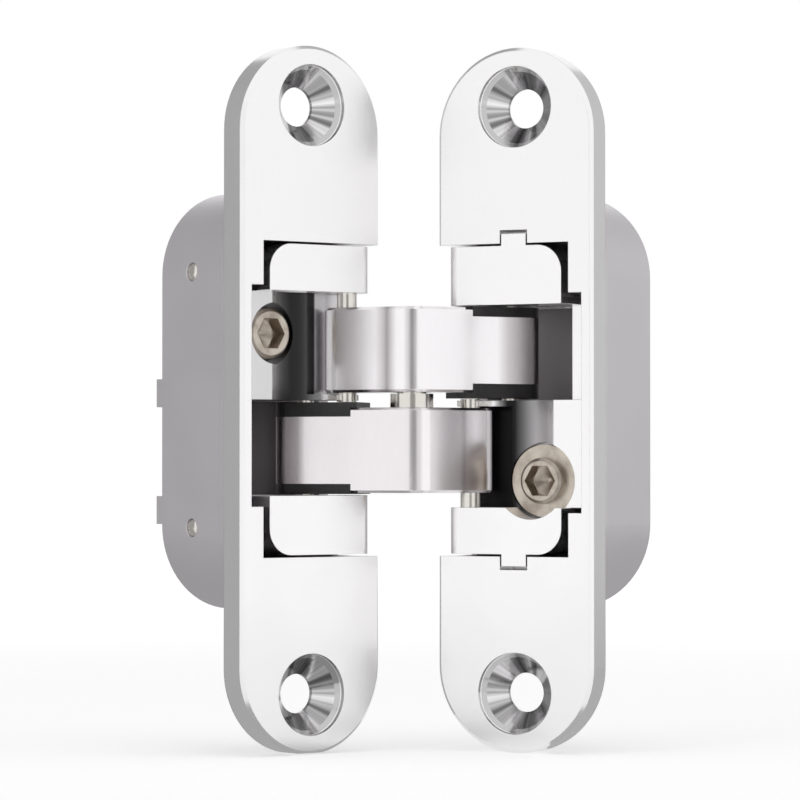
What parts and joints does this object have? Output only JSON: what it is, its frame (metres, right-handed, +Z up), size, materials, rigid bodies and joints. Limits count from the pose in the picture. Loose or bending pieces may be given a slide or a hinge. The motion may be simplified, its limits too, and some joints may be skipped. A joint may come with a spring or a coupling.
{
  "type": "concealed door hinge",
  "caption": "Concealed door hinge with two round-ended chromed leaves, crossed cast arms on pins and black glide pads, and hexagon socket screws for sideways and depth setting.",
  "frame": {"origin": "On the back of the left faceplate, where it seats on the door edge, halfway between its two fixing holes", "axes": "+X across the left leaf towards the other leaf, +Y into the door edge behind the left leaf, +Z up along the leaf"},
  "size_m": [0.0561, 0.0466, 0.095],
  "materials": {
    "satin_chrome": "cast zinc with satin to bright chrome plating",
    "bright_steel": "ground steel, bright",
    "nickel": "nickel plated steel with a warm grey-brown tone",
    "black_plastic": "moulded black acetal"
  },
  "bodies": {
    "left_leaf": {"left_body": "satin_chrome", "left_upper_guide_pin": "bright_steel", "left_lower_guide_pin": "bright_steel"},
    "left_carrier_unit": {"left_carrier": "satin_chrome", "left_pivot_pin": "bright_steel"},
    "side_adjuster": {"left_side_screw": "nickel"},
    "upper_arm_unit": {"upper_arm": "satin_chrome", "upper_arm_bush": "black_plastic", "upper_arm_slide_pin": "bright_steel", "upper_arm_lower_pad": "black_plastic", "upper_arm_upper_pad": "black_plastic", "centre_bush": "black_plastic"},
    "lower_arm_unit": {"lower_arm": "satin_chrome", "lower_arm_bush": "black_plastic", "lower_arm_slide_pin": "bright_steel", "lower_arm_upper_pad": "black_plastic", "lower_arm_lower_pad": "black_plastic", "centre_pin": "bright_steel", "centre_washer": "bright_steel"},
    "right_carrier_unit": {"right_carrier": "satin_chrome", "right_pivot_pin": "bright_steel"},
    "depth_adjuster": {"right_depth_screw": "nickel"},
    "right_leaf": {"right_body": "satin_chrome"}
  },
  "joints": [
    {"name": "side_adjust", "type": "slide", "parent": "left_leaf", "child": "left_carrier_unit", "axis": [1, 0, 0], "range_m": [-0.00064, 0.00064]},
    {"name": "side_screw_turn", "type": "hinge", "parent": "left_carrier_unit", "child": "side_adjuster", "pos_m": [-0.00375, -0.004, 0.0089], "axis": [0, 1, 0], "range_deg": [-39, 39]},
    {"name": "upper_arm_swing", "type": "hinge", "parent": "left_carrier_unit", "child": "upper_arm_unit", "pos_m": [0.0083, -0.001, 0], "axis": [0, 0, 1], "range_deg": [-84.38, 50.62]},
    {"name": "centre_turn", "type": "hinge", "parent": "upper_arm_unit", "child": "lower_arm_unit", "pos_m": [0.01274, -0.00951, 0], "axis": [0, 0, 1], "range_deg": [-33.85, 56.35]},
    {"name": "right_leaf_swing", "type": "hinge", "parent": "lower_arm_unit", "child": "right_carrier_unit", "pos_m": [0.0223, -0.01035, 0], "axis": [0, 0, 1], "range_deg": [-84.5, 50.75]},
    {"name": "depth_adjust", "type": "slide", "parent": "right_carrier_unit", "child": "right_leaf", "axis": [0.9239, 0.3827, 0], "range_m": [-0.0007, 0.0007]},
    {"name": "depth_screw_turn", "type": "hinge", "parent": "right_carrier_unit", "child": "depth_adjuster", "pos_m": [0.0236, -0.02134, -0.0109], "axis": [0.9239, 0.3827, 0], "range_deg": [-362, 362]}
  ],
  "couplings": [
    {"joint": "side_screw_turn", "follows": "side_adjust", "rad_per_m": -1052.6},
    {"joint": "centre_turn", "follows": "upper_arm_swing", "ratio": -0.66667},
    {"joint": "right_leaf_swing", "follows": "upper_arm_swing", "ratio": 1},
    {"joint": "depth_screw_turn", "follows": "depth_adjust", "rad_per_m": -8976}
  ]
}
